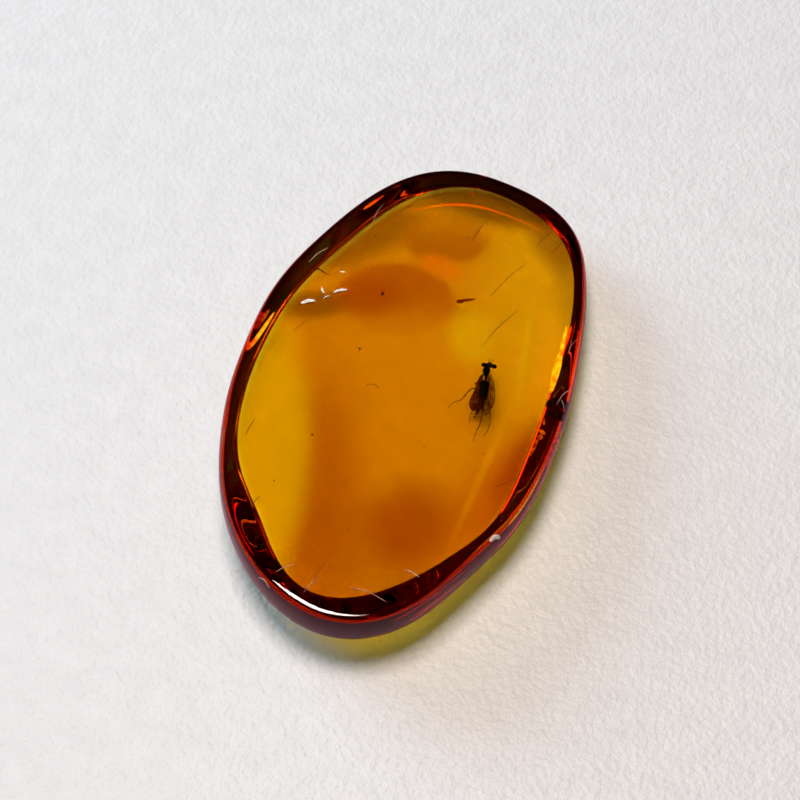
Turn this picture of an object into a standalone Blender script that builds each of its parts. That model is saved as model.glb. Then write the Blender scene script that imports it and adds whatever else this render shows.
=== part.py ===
"""A small fly sealed in a polished, free-form oval piece of amber.

The amber is one stone in life. Here it is parted along a level plane at the fly's height, which
opens the pocket around the fly. Lengths are in metres. The origin is the centre of the stone's
base, +Y runs along its length and +Z is up.
"""

import math

import bmesh
import bpy
from mathutils import Matrix, Vector

MM = 0.001

# The stone: an oval slab, ground and polished by hand, so its outline swells away from an ellipse.
# Each swell below is a bearing from +X and a spread, both in degrees, and a height.
STONE_LENGTH = 24.0 * MM
STONE_WIDTH = 14.6 * MM
STONE_HEIGHT = 4.0 * MM
OUTLINE_SWELLS = (
    (63, 13, 1.3 * MM),
    (44, 16, 0.55 * MM),
    (15, 14, 0.12 * MM),
    (124, 21, -0.51 * MM),
    (200, 14, 0.12 * MM),
    (230, 20, 0.27 * MM),
    (276, 10, 0.1 * MM),
    (304, 13, -0.44 * MM),
)
COLUMNS = 36

# The top is a flat ground on a slight slant, so the stone thins towards THIN_BEARING.
MIDDLE_THICKNESS = 3.3 * MM
TAPER = 0.25  # share of the thickness lost over half the length
THIN_BEARING = 50
DOME = 0.05 * MM  # how far the top rises from its rim to its middle
SHOULDER = 0.3 * MM  # from the widest outline to the flat of the top
SHOULDER_POWER = 2.6  # 2 is a round shoulder, and more is squarer

# The underside is a level base, with a flank cut straight from its edge up to the widest outline.
WIDEST_SHARE = 0.66  # height of the widest outline, as a share of the thickness
WIDEST_SWELLS = ((283, 60, -0.12),)
BASE_INSET = 0.48 * MM  # from the widest outline to the base's edge
BASE_SWELLS = (
    (86, 15, -0.42 * MM),
    (118, 12, 0.16 * MM),
    (183, 12, -0.11 * MM),
    (240, 17, 1.25 * MM),
    (281, 22, 1.9 * MM),
    (335, 45, 0.84 * MM),
    (24, 28, 0.45 * MM),
)
EDGE_MARGIN = 0.35 * MM  # the ring inside each flat's edge, which keeps the flat flat
CAP_SHARES = (0.72, 0.4)  # rings of the flat top and base, as shares of its edge's distance out

# The parting of the stone, and the pocket that leaves room around the fly.
PARTING_HEIGHT = 1.7 * MM
GAP = 0.3 * MM
POCKET_CENTRE = Vector((-0.65, -1.7, 0)) * MM
POCKET_REACH = Vector((2.05, 2.9, 0.9)) * MM

# The fly lies level, head towards +Y and a little towards -X. Its own frame has its origin at the
# head, +Y forwards, and its places below are in millimetres.
FLY_PLACE = Vector((3.29, 2.4, 1.7)) * MM
FLY_HEADING = math.radians(16)
BODY_LUMPS = (  # centre, half-sizes, lean to the right in degrees
    ((0.02, 0.00, 0.00), (0.24, 0.12, 0.17), -8),
    ((-0.17, 0.02, 0.02), (0.15, 0.14, 0.18), -8),
    ((0.21, -0.03, 0.02), (0.15, 0.14, 0.18), -8),
    ((-0.08, -0.30, 0.00), (0.17, 0.28, 0.19), -5),
    ((-0.12, -0.62, 0.00), (0.10, 0.32, 0.13), -5),
    ((-0.21, -1.26, 0.00), (0.27, 0.60, 0.29), -11),
    ((-0.41, -2.05, -0.03), (0.18, 0.50, 0.19), -22),
    ((-0.62, -2.48, -0.05), (0.08, 0.20, 0.09), -30),
)
WING_THICKNESS = 0.04
WINGS = (  # height, tilt about the wing's length in degrees, outline
    (0.10, 14, ((-0.05, -0.55), (0.22, -0.66), (0.32, -1.1), (0.30, -1.7), (0.14, -2.2), (-0.12, -2.4),
                (-0.22, -2.1), (-0.15, -1.2))),
    (0.12, -14, ((-0.20, -0.50), (-0.48, -0.8), (-0.62, -1.3), (-0.86, -1.8), (-0.82, -2.15),
                 (-0.60, -2.3), (-0.42, -1.9), (-0.25, -1.2))),
)
LIMB_RADIUS = 0.022
LIMBS = (
    ((-0.22, -1.10, -0.10), (-0.60, -1.12, -0.18), (-0.78, -1.12, -0.12), (-1.20, -1.55, -0.22),
     (-1.60, -1.76, -0.26), (-1.84, -2.08, -0.30)),
    ((-0.22, -1.50, -0.10), (-0.34, -2.05, -0.24), (-0.40, -2.55, -0.30), (-0.62, -3.20, -0.34),
     (-0.76, -3.75, -0.38)),
    ((-0.14, -1.45, -0.10), (-0.02, -2.00, -0.20), (0.00, -2.70, -0.28), (-0.06, -3.10, -0.32),
     (-0.30, -3.42, -0.36)),
    ((-0.50, -1.90, -0.04), (-0.76, -2.25, -0.16), (-0.83, -2.75, -0.22)),
    ((-0.10, -1.15, -0.06), (0.12, -1.12, -0.14), (0.24, -1.24, -0.20)),
    ((0.06, 0.06, 0.04), (0.02, 0.22, 0.06), (-0.02, 0.34, 0.06)),
    ((0.10, 0.05, 0.04), (0.16, 0.20, 0.06), (0.22, 0.27, 0.06)),
)

AMBER_COLOUR = (0.72, 0.24, 0.008, 0.55)
FLY_COLOUR = (0.012, 0.006, 0.004, 1.0)


def clear_scene():
    for obj in list(bpy.data.objects):
        bpy.data.objects.remove(obj, do_unlink=True)


def collection(name):
    made = bpy.data.collections.new(name)
    bpy.context.scene.collection.children.link(made)
    return made


def material(name, colour, roughness, transmission=0.0):
    made = bpy.data.materials.new(name)
    made.use_nodes = True
    shader = made.node_tree.nodes["Principled BSDF"]
    shader.inputs["Base Color"].default_value = (*colour[:3], 1.0)
    shader.inputs["Roughness"].default_value = roughness
    shader.inputs["Metallic"].default_value = 0.0
    shader.inputs["Transmission Weight"].default_value = transmission
    made.diffuse_color = colour
    return made


def new_object(name, data, group, parent=None):
    made = bpy.data.objects.new(name, data)
    group.objects.link(made)
    made.parent = parent
    return made


def make_cutter(obj):
    obj.hide_render = True
    obj.display_type = "WIRE"


def evaluated_mesh(obj):
    """The object's shape with its modifiers applied, as a new mesh in the object's own frame."""
    bpy.context.view_layer.update()
    graph = bpy.context.evaluated_depsgraph_get()
    return bpy.data.meshes.new_from_object(obj.evaluated_get(graph))


# The stone


def swell(bearing, swells):
    """Sum of the smooth bumps at this bearing, both in degrees."""
    total = 0.0
    for centre, spread, height in swells:
        away = (bearing - centre + 180) % 360 - 180
        total += height * math.exp(-((away / spread) ** 2))
    return total


def outline(bearing):
    """The stone's widest radius at a bearing in degrees."""
    turn = math.radians(bearing)
    across, along = STONE_WIDTH / 2, STONE_LENGTH / 2
    ellipse = across * along / math.hypot(along * math.cos(turn), across * math.sin(turn))
    return ellipse + swell(bearing, OUTLINE_SWELLS)


def thinning(x, y):
    """The share of the middle thickness that the stone keeps at this place."""
    slant = math.radians(THIN_BEARING)
    return 1 - TAPER * (x * math.cos(slant) + y * math.sin(slant)) / (STONE_LENGTH / 2)


def shoulder_inset(share):
    """How far the shoulder has turned in, at a share of its height: a superellipse's quarter."""
    return SHOULDER * (1 - (1 - share**SHOULDER_POWER) ** (1 / SHOULDER_POWER))


def edge_section(bearing):
    """(inset, height) pairs up the stone's edge at a bearing, where it has its middle thickness."""
    under = BASE_INSET + swell(bearing, BASE_SWELLS)
    widest = MIDDLE_THICKNESS * (WIDEST_SHARE + swell(bearing, WIDEST_SWELLS))
    flank = [(under * (1 - share), widest * share) for share in (0.0, 0.14, 0.6, 1.0)]
    rise = MIDDLE_THICKNESS - widest
    shoulder = [(shoulder_inset(share), widest + rise * share) for share in (0.5, 0.85, 1.0)]
    base = (under + EDGE_MARGIN, 0.0)
    top = (SHOULDER + EDGE_MARGIN, MIDDLE_THICKNESS)
    return [base, *flank, *shoulder, top]


def add_cap(bm, ring, thickness, rise):
    """Closes a ring with a flat of smaller rings around a middle point, at the thickness given."""
    cap = bmesh.ops.contextual_create(bm, geom=ring)["faces"]
    outer_share = 1.0
    for share in CAP_SHARES:
        bmesh.ops.inset_region(bm, faces=cap, thickness=0.0)
        bmesh.ops.scale(bm, verts=cap[0].verts, vec=(share / outer_share, share / outer_share, 1))
        outer_share = share
        for vert in cap[0].verts:
            vert.co.z = thickness * thinning(vert.co.x, vert.co.y) + rise * (1 - share**2)
    centre = bmesh.ops.poke(bm, faces=cap)["verts"][0]
    centre.co = (0, 0, thickness + rise)


def stone_cage():
    """A ring drawn up the stone's edge, level by level, and closed by the base and the top."""
    bm = bmesh.new()
    radius = STONE_WIDTH / 2
    ring = bmesh.ops.create_circle(bm, cap_ends=False, radius=radius, segments=COLUMNS)["verts"]
    edges = base_edges = bm.edges[:]
    for level in range(len(edge_section(0))):
        if level:
            drawn = bmesh.ops.extrude_edge_only(bm, edges=edges)["geom"]
            ring = [part for part in drawn if isinstance(part, bmesh.types.BMVert)]
            drawn_edges = [part for part in drawn if isinstance(part, bmesh.types.BMEdge)]
            edges = [edge for edge in drawn_edges if all(vert in ring for vert in edge.verts)]
        for vert in ring:
            bearing = math.degrees(math.atan2(vert.co.y, vert.co.x)) % 360
            inset, height = edge_section(bearing)[level]
            turn, reach = math.radians(bearing), outline(bearing) - inset
            x, y = reach * math.cos(turn), reach * math.sin(turn)
            vert.co = (x, y, height * thinning(x, y))
    add_cap(bm, base_edges, 0.0, 0.0)
    add_cap(bm, edges, MIDDLE_THICKNESS, DOME)
    bmesh.ops.recalc_face_normals(bm, faces=bm.faces)
    mesh = bpy.data.meshes.new("stone_cage")
    bm.to_mesh(mesh)
    bm.free()
    return mesh


def stone_mesh(group):
    """The whole stone, smoothed from its cage and brought to its stated length, width and height."""
    cage = new_object("stone_cage", stone_cage(), group)
    smooth = cage.modifiers.new("smooth", "SUBSURF")
    smooth.levels = smooth.render_levels = 1
    mesh = evaluated_mesh(cage)
    bpy.data.objects.remove(cage)
    low = [min(vert.co[axis] for vert in mesh.vertices) for axis in range(3)]
    high = [max(vert.co[axis] for vert in mesh.vertices) for axis in range(3)]
    size = (STONE_WIDTH, STONE_LENGTH, STONE_HEIGHT)
    scale = Matrix.Diagonal([whole / (b - a) for whole, a, b in zip(size, low, high)]).to_4x4()
    base = Vector(((low[0] + high[0]) / 2, (low[1] + high[1]) / 2, low[2]))
    mesh.transform(scale @ Matrix.Translation(-base))
    return mesh


def half_of_stone(name, mesh, bottom, top, pocket, stones, cutters):
    """The part of the stone between two heights, with the pocket cut out of it."""
    bm = bmesh.new()
    bmesh.ops.create_cube(bm, size=1.0)
    bmesh.ops.scale(bm, verts=bm.verts, vec=(2 * STONE_WIDTH, 2 * STONE_LENGTH, top - bottom))
    bmesh.ops.translate(bm, verts=bm.verts, vec=(0, 0, (top + bottom) / 2))
    block_mesh = bpy.data.meshes.new(f"{name}_block")
    bm.to_mesh(block_mesh)
    bm.free()
    block = new_object(f"{name}_block", block_mesh, cutters)
    make_cutter(block)
    half = new_object(name, mesh.copy(), stones)
    for operation, cutter in (("INTERSECT", block), ("DIFFERENCE", pocket)):
        cut = half.modifiers.new(cutter.name, "BOOLEAN")
        cut.operation = operation
        cut.solver = "EXACT"
        cut.object = cutter
    half.data.shade_smooth()
    half.data.set_sharp_from_angle(angle=math.radians(40))
    return half


# The fly


def lump(centre, reach, lean, segments=12, rings=8):
    bm = bmesh.new()
    bmesh.ops.create_uvsphere(bm, u_segments=segments, v_segments=rings, radius=1.0)
    bmesh.ops.scale(bm, verts=bm.verts, vec=reach)
    bmesh.ops.rotate(bm, verts=bm.verts, cent=(0, 0, 0), matrix=Matrix.Rotation(math.radians(lean), 3, "Z"))
    bmesh.ops.translate(bm, verts=bm.verts, vec=centre)
    mesh = bpy.data.meshes.new("lump")
    bm.to_mesh(mesh)
    bm.free()
    mesh.shade_smooth()
    return mesh


def curve_solid(curve):
    """The curve's shape as a mesh with its caps welded, because a Boolean takes no curve."""
    guide = bpy.data.objects.new("guide", curve)
    bpy.context.scene.collection.objects.link(guide)
    mesh = evaluated_mesh(guide)
    bpy.data.objects.remove(guide)
    bm = bmesh.new()
    bm.from_mesh(mesh)
    bmesh.ops.remove_doubles(bm, verts=bm.verts, dist=0.001)
    bmesh.ops.recalc_face_normals(bm, faces=bm.faces)
    bm.to_mesh(mesh)
    bm.free()
    return mesh


def wing(height, tilt, points):
    curve = bpy.data.curves.new("wing", "CURVE")
    curve.dimensions = "2D"
    curve.fill_mode = "BOTH"
    curve.extrude = WING_THICKNESS / 2
    curve.resolution_u = 3
    spline = curve.splines.new("BEZIER")
    spline.bezier_points.add(len(points) - 1)
    for knot, place in zip(spline.bezier_points, points):
        knot.co = (*place, 0)
        knot.handle_left_type = knot.handle_right_type = "AUTO"
    spline.use_cyclic_u = True
    mesh = curve_solid(curve)
    root = Vector((*points[0], 0))
    hang = Matrix.Rotation(math.radians(tilt), 4, "Y")
    mesh.transform(Matrix.Translation(root + Vector((0, 0, height))) @ hang @ Matrix.Translation(-root))
    return mesh


def limb(points):
    curve = bpy.data.curves.new("limb", "CURVE")
    curve.dimensions = "3D"
    curve.bevel_depth = LIMB_RADIUS
    curve.bevel_resolution = 1
    curve.use_fill_caps = True
    spline = curve.splines.new("POLY")
    spline.points.add(len(points) - 1)
    for knot, place in zip(spline.points, points):
        knot.co = (*place, 1)
    return curve_solid(curve)


def make_fly(stones, cutters):
    """The fly as one solid: its lumps, wings and limbs are joined by one Boolean union."""
    place = new_object("fly_place", None, stones)
    place.location = FLY_PLACE
    place.rotation_euler.z = FLY_HEADING
    place.scale = (MM, MM, MM)
    joined = bpy.data.collections.new("fly_pieces")
    cutters.children.link(joined)
    meshes = [lump(*row) for row in BODY_LUMPS]
    meshes += [wing(*row) for row in WINGS]
    meshes += [limb(row) for row in LIMBS]
    for number, mesh in enumerate(meshes[1:]):
        make_cutter(new_object(f"fly_piece_{number}", mesh, joined, place))
    fly = new_object("fly", meshes[0], stones, place)
    union = fly.modifiers.new("one_body", "BOOLEAN")
    union.operation = "UNION"
    union.solver = "EXACT"
    union.operand_type = "COLLECTION"
    union.collection = joined
    return fly, place


def make_pocket(place, cutters):
    mesh = lump(POCKET_CENTRE / MM, POCKET_REACH / MM, 0, segments=24, rings=14)
    pocket = new_object("pocket", mesh, cutters, place)
    make_cutter(pocket)
    return pocket


def main():
    clear_scene()
    stones = collection("insect_in_amber")
    cutters = collection("cutters")
    fly, place = make_fly(stones, cutters)
    pocket = make_pocket(place, cutters)
    whole = stone_mesh(cutters)
    below, above = PARTING_HEIGHT - GAP / 2, PARTING_HEIGHT + GAP / 2
    lower = half_of_stone("amber_lower", whole, -STONE_HEIGHT, below, pocket, stones, cutters)
    upper = half_of_stone("amber_upper", whole, above, 2 * STONE_HEIGHT, pocket, stones, cutters)
    amber = material("amber", AMBER_COLOUR, 0.05, transmission=1.0)
    for half in (lower, upper):
        half.data.materials.append(amber)
    fly.data.materials.append(material("fly", FLY_COLOUR, 0.5))


main()
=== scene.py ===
import math
import random

import bmesh
import bpy
from mathutils import Matrix, Vector
from mathutils.bvhtree import BVHTree


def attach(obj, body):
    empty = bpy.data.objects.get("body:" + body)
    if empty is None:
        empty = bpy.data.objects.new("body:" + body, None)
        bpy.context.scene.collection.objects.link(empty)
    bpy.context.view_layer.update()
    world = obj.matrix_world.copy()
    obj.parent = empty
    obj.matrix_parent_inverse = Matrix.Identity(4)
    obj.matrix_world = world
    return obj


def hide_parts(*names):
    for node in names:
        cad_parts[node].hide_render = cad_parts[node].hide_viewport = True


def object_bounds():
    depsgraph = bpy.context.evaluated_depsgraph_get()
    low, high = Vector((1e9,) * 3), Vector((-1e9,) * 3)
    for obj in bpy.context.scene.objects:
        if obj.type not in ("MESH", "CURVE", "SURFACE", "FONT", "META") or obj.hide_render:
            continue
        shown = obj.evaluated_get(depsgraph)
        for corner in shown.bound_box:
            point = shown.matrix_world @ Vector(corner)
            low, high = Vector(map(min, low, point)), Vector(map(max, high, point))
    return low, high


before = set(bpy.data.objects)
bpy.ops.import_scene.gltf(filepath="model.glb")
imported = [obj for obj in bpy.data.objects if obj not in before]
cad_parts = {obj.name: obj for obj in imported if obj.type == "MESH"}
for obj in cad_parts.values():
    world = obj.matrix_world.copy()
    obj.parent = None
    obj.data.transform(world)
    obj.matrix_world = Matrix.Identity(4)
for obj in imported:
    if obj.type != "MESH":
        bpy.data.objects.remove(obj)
CAD_LOW, CAD_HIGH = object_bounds()


# ---- The amber stone ------------------------------------------------------------------------
# One free-form oval of clear fossil resin, ground flat above and below on a wheel and polished
# by hand. Its flank leans outwards from a smaller base, so the rim around the base is dark, and
# painted shade on the flank darkens it more. Its top slants a little. It is one piece around the
# fly, where the frame's solid is parted.

MM = 0.001
STONE_WIDTH, STONE_LENGTH, STONE_HEIGHT = (CAD_HIGH - CAD_LOW) / MM

# Swells of the hand-ground outline, each a bearing and a spread in degrees and a height.
OUTLINE_SWELLS = (
    (63, 13, 1.3),
    (44, 16, 0.55),
    (15, 14, 0.12),
    (124, 21, -0.51),
    (200, 14, 0.12),
    (230, 20, 0.27),
    (276, 10, 0.1),
    (304, 13, -0.44),
)
MIDDLE_THICKNESS = 3.3
TAPER = 0.25  # share of the thickness lost over half the length
THIN_BEARING = 50
DOME = 0.05  # how far the top rises from its rim to its middle
DOME_REACH = 12
SHOULDER = 0.4  # from the widest outline to the flat of the top
SHOULDER_POWER = 2.6  # 2 is a round shoulder, and more is squarer
WIDEST_SHARE = 0.66  # height of the widest outline, as a share of the thickness
WIDEST_SWELLS = ((283, 60, -0.12),)
BASE_INSET = 0.48  # from the widest outline to the base's edge
BASE_SWELLS = (
    (86, 15, -0.42),
    (118, 12, 0.16),
    (183, 12, -0.11),
    (240, 17, 1.25),
    (281, 22, 1.9),
    (335, 45, 0.84),
    (24, 28, 0.45),
)
FLANK_SHARES = (0.0, 0.12, 0.3, 0.55, 0.8, 1.0)
SHOULDER_SHARES = (0.35, 0.62, 0.82, 0.94, 1.0)
EDGE_MARGIN = 0.4  # the ring inside each flat's edge, which keeps the flat flat
CAP_SHARES = (0.8, 0.55, 0.28)  # rings of the flat top and base, as shares of its edge
STONE_COLUMNS = 36
STONE_SMOOTHING = 3

# The flank is painted dark, both as the resin's old dark skin and as painted shade that darkens
# the rim: its strength on each ring of the edge, base to top, and swells of bearing, spread and
# share where the polish has worn it through and the rim shows bright.
SHADE_SKIN_UP_EDGE = (0.0, 0.0, 1.0, 1.0, 1.0, 1.0, 1.0, 1.0, 1.0, 1.0, 0.9, 0.5, 0.0)
SHADE_SKIN_GAPS = ((24, 9, 0.5), (330, 32, 0.55))
THIN_SHADE_SKIN = (0.42, 0.008, 0.022, 1.0)
THICK_SHADE_SKIN = (0.26, 0.002, 0.003, 1.0)
LIT_SHADE_SKIN_SHARE = 0.05  # how much of it colours the light that falls through onto the board

AMBER_INDEX = 1.54
ABSORBED_PER_MM = (0.014, 0.115, 1.4)  # red, green and blue light lost in a millimetre


def swell(bearing, swells):
    """Sum of the smooth bumps at this bearing, both in degrees."""
    total = 0.0
    for centre, spread, height in swells:
        away = (bearing - centre + 180) % 360 - 180
        total += height * math.exp(-((away / spread) ** 2))
    return total


def outline(bearing):
    """The stone's widest radius at a bearing in degrees."""
    turn = math.radians(bearing)
    across, along = STONE_WIDTH / 2, STONE_LENGTH / 2
    ellipse = across * along / math.hypot(along * math.cos(turn), across * math.sin(turn))
    return ellipse + swell(bearing, OUTLINE_SWELLS)


def thinning(x, y):
    """The share of the middle thickness that the stone keeps at this place."""
    slant = math.radians(THIN_BEARING)
    return 1 - TAPER * (x * math.cos(slant) + y * math.sin(slant)) / (STONE_LENGTH / 2)


def top_height(x, y):
    return MIDDLE_THICKNESS * thinning(x, y)


def dome_rise(x, y):
    return DOME * (1 - (math.hypot(x, y) / DOME_REACH) ** 2)


def shoulder_inset(share):
    """How far the shoulder has turned in, at a share of its height: a superellipse's quarter."""
    return SHOULDER * (1 - (1 - share**SHOULDER_POWER) ** (1 / SHOULDER_POWER))


def edge_section(bearing):
    """(inset, height) pairs up the stone's edge at a bearing, where it has its middle thickness."""
    under = BASE_INSET + swell(bearing, BASE_SWELLS)
    widest = MIDDLE_THICKNESS * (WIDEST_SHARE + swell(bearing, WIDEST_SWELLS))
    rise = MIDDLE_THICKNESS - widest
    flank = [(under * (1 - share), widest * share) for share in FLANK_SHARES]
    shoulder = [(shoulder_inset(share), widest + rise * share) for share in SHOULDER_SHARES]
    base = (under + EDGE_MARGIN, 0.0)
    top = (SHOULDER + EDGE_MARGIN, MIDDLE_THICKNESS)
    return [base, *flank, *shoulder, top]


def close_flat(bm, ring, height_at):
    """Closes a ring with a flat of inset rings around a middle point, at the heights given."""
    cap = bmesh.ops.contextual_create(bm, geom=ring)["faces"]
    outer_share = 1.0
    for share in CAP_SHARES:
        bmesh.ops.inset_region(bm, faces=cap, thickness=0.0)
        bmesh.ops.scale(bm, verts=cap[0].verts, vec=(share / outer_share, share / outer_share, 1.0))
        outer_share = share
        for vert in cap[0].verts:
            vert.co.z = height_at(vert.co.x, vert.co.y)
    middle = bmesh.ops.poke(bm, faces=cap)["verts"][0]
    middle.co.z = height_at(middle.co.x, middle.co.y)


def stone_bmesh():
    """The stone's cage in millimetres: a ring drawn up the edge from the base, and two flats."""
    bm = bmesh.new()
    skin = bm.verts.layers.float.new("skin")
    levels = len(edge_section(0))
    ring = bmesh.ops.create_circle(bm, radius=1.0, segments=STONE_COLUMNS)["verts"]
    edges = base_edges = bm.edges[:]
    for level in range(levels):
        if level:
            drawn = bmesh.ops.extrude_edge_only(bm, edges=edges)["geom"]
            ring = [part for part in drawn if isinstance(part, bmesh.types.BMVert)]
            drawn_edges = [part for part in drawn if isinstance(part, bmesh.types.BMEdge)]
            edges = [edge for edge in drawn_edges if all(vert in ring for vert in edge.verts)]
        for vert in ring:
            bearing = math.degrees(math.atan2(vert.co.y, vert.co.x)) % 360
            inset, height = edge_section(bearing)[level]
            turn, radius = math.radians(bearing), outline(bearing) - inset
            x, y = radius * math.cos(turn), radius * math.sin(turn)
            vert.co = (x, y, height * thinning(x, y))
            vert[skin] = SHADE_SKIN_UP_EDGE[level] * (1 - swell(bearing, SHADE_SKIN_GAPS))
    close_flat(bm, base_edges, lambda x, y: 0.0)
    close_flat(bm, edges, lambda x, y: top_height(x, y) + dome_rise(x, y))
    bmesh.ops.recalc_face_normals(bm, faces=bm.faces)
    return bm


def new_piece(name, bm):
    """A piece of the scene from a bmesh, shaded smooth."""
    mesh = bpy.data.meshes.new(name)
    bm.to_mesh(mesh)
    bm.free()
    mesh.shade_smooth()
    piece = bpy.data.objects.new(name, mesh)
    bpy.context.scene.collection.objects.link(piece)
    return piece


def smooth_piece(piece, levels):
    modifier = piece.modifiers.new("smooth", "SUBSURF")
    modifier.levels = modifier.render_levels = levels


def evaluated_copy(piece):
    """The piece's mesh with its modifiers applied."""
    bpy.context.view_layer.update()
    graph = bpy.context.evaluated_depsgraph_get()
    return bpy.data.meshes.new_from_object(piece.evaluated_get(graph))


def fit_to_box(piece, low, high):
    """Stretches a piece's mesh so that its smoothed shape just fills the box."""
    smoothed = evaluated_copy(piece)
    places = [vert.co for vert in smoothed.vertices]
    from_low = Vector([min(place[axis] for place in places) for axis in range(3)])
    from_high = Vector([max(place[axis] for place in places) for axis in range(3)])
    bpy.data.meshes.remove(smoothed)
    stretch = [(high[axis] - low[axis]) / (from_high[axis] - from_low[axis]) for axis in range(3)]
    fitted = Matrix.Translation(low) @ Matrix.Diagonal(stretch).to_4x4() @ Matrix.Translation(-from_low)
    piece.data.transform(fitted)


def set_inputs(tree, node, inputs):
    """Sets a node's inputs to values, or links them to other nodes' sockets."""
    for name, value in inputs.items():
        if isinstance(value, bpy.types.NodeSocket):
            tree.links.new(value, node.inputs[name])
        else:
            node.inputs[name].default_value = value


def add_node(tree, kind, inputs=None, **settings):
    """A node with its settings and its inputs."""
    node = tree.nodes.new(kind)
    for name, value in settings.items():
        setattr(node, name, value)
    set_inputs(tree, node, inputs or {})
    return node


def new_material(name):
    """A material and its Principled shader node."""
    material = bpy.data.materials.new(name)
    material.use_nodes = True
    return material, material.node_tree.nodes["Principled BSDF"]


def new_group(name, inputs, outputs):
    """A shader node group with named sockets, each given as (name, kind, value)."""
    group = bpy.data.node_groups.new(name, "ShaderNodeTree")
    for socket, kind, value in inputs:
        made = group.interface.new_socket(socket, in_out="INPUT", socket_type=f"NodeSocket{kind}")
        made.default_value = value
    for socket, kind in outputs:
        group.interface.new_socket(socket, in_out="OUTPUT", socket_type=f"NodeSocket{kind}")
    return group, group.nodes.new("NodeGroupInput").outputs, group.nodes.new("NodeGroupOutput")


def resin_cloud_group():
    """Takes a colour towards another inside a soft, slightly ragged oval seen from above.

    Fade thins the oval out towards its own near side, so that only its far edge is crisp.
    """
    group, given, result = new_group(
        "resin_cloud",
        (
            ("Colour", "Color", (1, 1, 1, 1)),
            ("Cloud Colour", "Color", (1, 1, 1, 1)),
            ("Centre", "Vector", (0, 0, 0)),
            ("Reach", "Vector", (1, 1, 1)),
            ("Turn", "Vector", (0, 0, 0)),
            ("Softness", "Float", 0.5),
            ("Raggedness", "Float", 0.1),
            ("Fade", "Float", 0.0),
            ("Strength", "Float", 1.0),
        ),
        (("Colour", "Color"),),
    )
    place = add_node(group, "ShaderNodeTexCoord").outputs["Object"]
    flat = add_node(group, "ShaderNodeVectorMath", {0: place, 1: (1, 1, 0)}, operation="MULTIPLY")
    noise = add_node(group, "ShaderNodeTexNoise", {"Vector": place, "Scale": 450.0, "Detail": 3.0})
    local = add_node(
        group,
        "ShaderNodeMapping",
        {
            "Vector": flat.outputs[0],
            "Location": given["Centre"],
            "Rotation": given["Turn"],
            "Scale": given["Reach"],
        },
        vector_type="TEXTURE",
    )
    away = add_node(group, "ShaderNodeVectorMath", {0: local.outputs[0]}, operation="LENGTH")
    rag = add_node(group, "ShaderNodeMath", {0: noise.outputs["Fac"], 1: 0.5}, operation="SUBTRACT")
    ragged = add_node(
        group,
        "ShaderNodeMath",
        {0: rag.outputs[0], 1: given["Raggedness"], 2: away.outputs["Value"]},
        operation="MULTIPLY_ADD",
    )
    inner = add_node(group, "ShaderNodeMath", {0: 1.0, 1: given["Softness"]}, operation="SUBTRACT")
    outer = add_node(group, "ShaderNodeMath", {0: 1.0, 1: given["Softness"]}, operation="ADD")
    mask = add_node(
        group,
        "ShaderNodeMapRange",
        {
            "Value": ragged.outputs[0],
            "From Min": inner.outputs[0],
            "From Max": outer.outputs[0],
            "To Min": given["Strength"],
            "To Max": 0.0,
        },
        interpolation_type="SMOOTHSTEP",
    )
    nearness = add_node(group, "ShaderNodeSeparateXYZ", {0: local.outputs[0]}).outputs["Y"]
    thinned = add_node(
        group,
        "ShaderNodeMapRange",
        {"Value": nearness, "From Min": 0.5, "From Max": -0.9, "To Min": 0.0, "To Max": given["Fade"]},
        interpolation_type="SMOOTHSTEP",
    )
    left = add_node(group, "ShaderNodeMath", {0: 1.0, 1: thinned.outputs[0]}, operation="SUBTRACT")
    share = add_node(
        group, "ShaderNodeMath", {0: mask.outputs[0], 1: left.outputs[0]}, operation="MULTIPLY"
    )
    mixed = add_node(
        group,
        "ShaderNodeMix",
        {"Factor": share.outputs[0], 6: given["Colour"], 7: given["Cloud Colour"]},
        data_type="RGBA",
    )
    group.links.new(mixed.outputs[2], result.inputs["Colour"])
    return group
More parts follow.
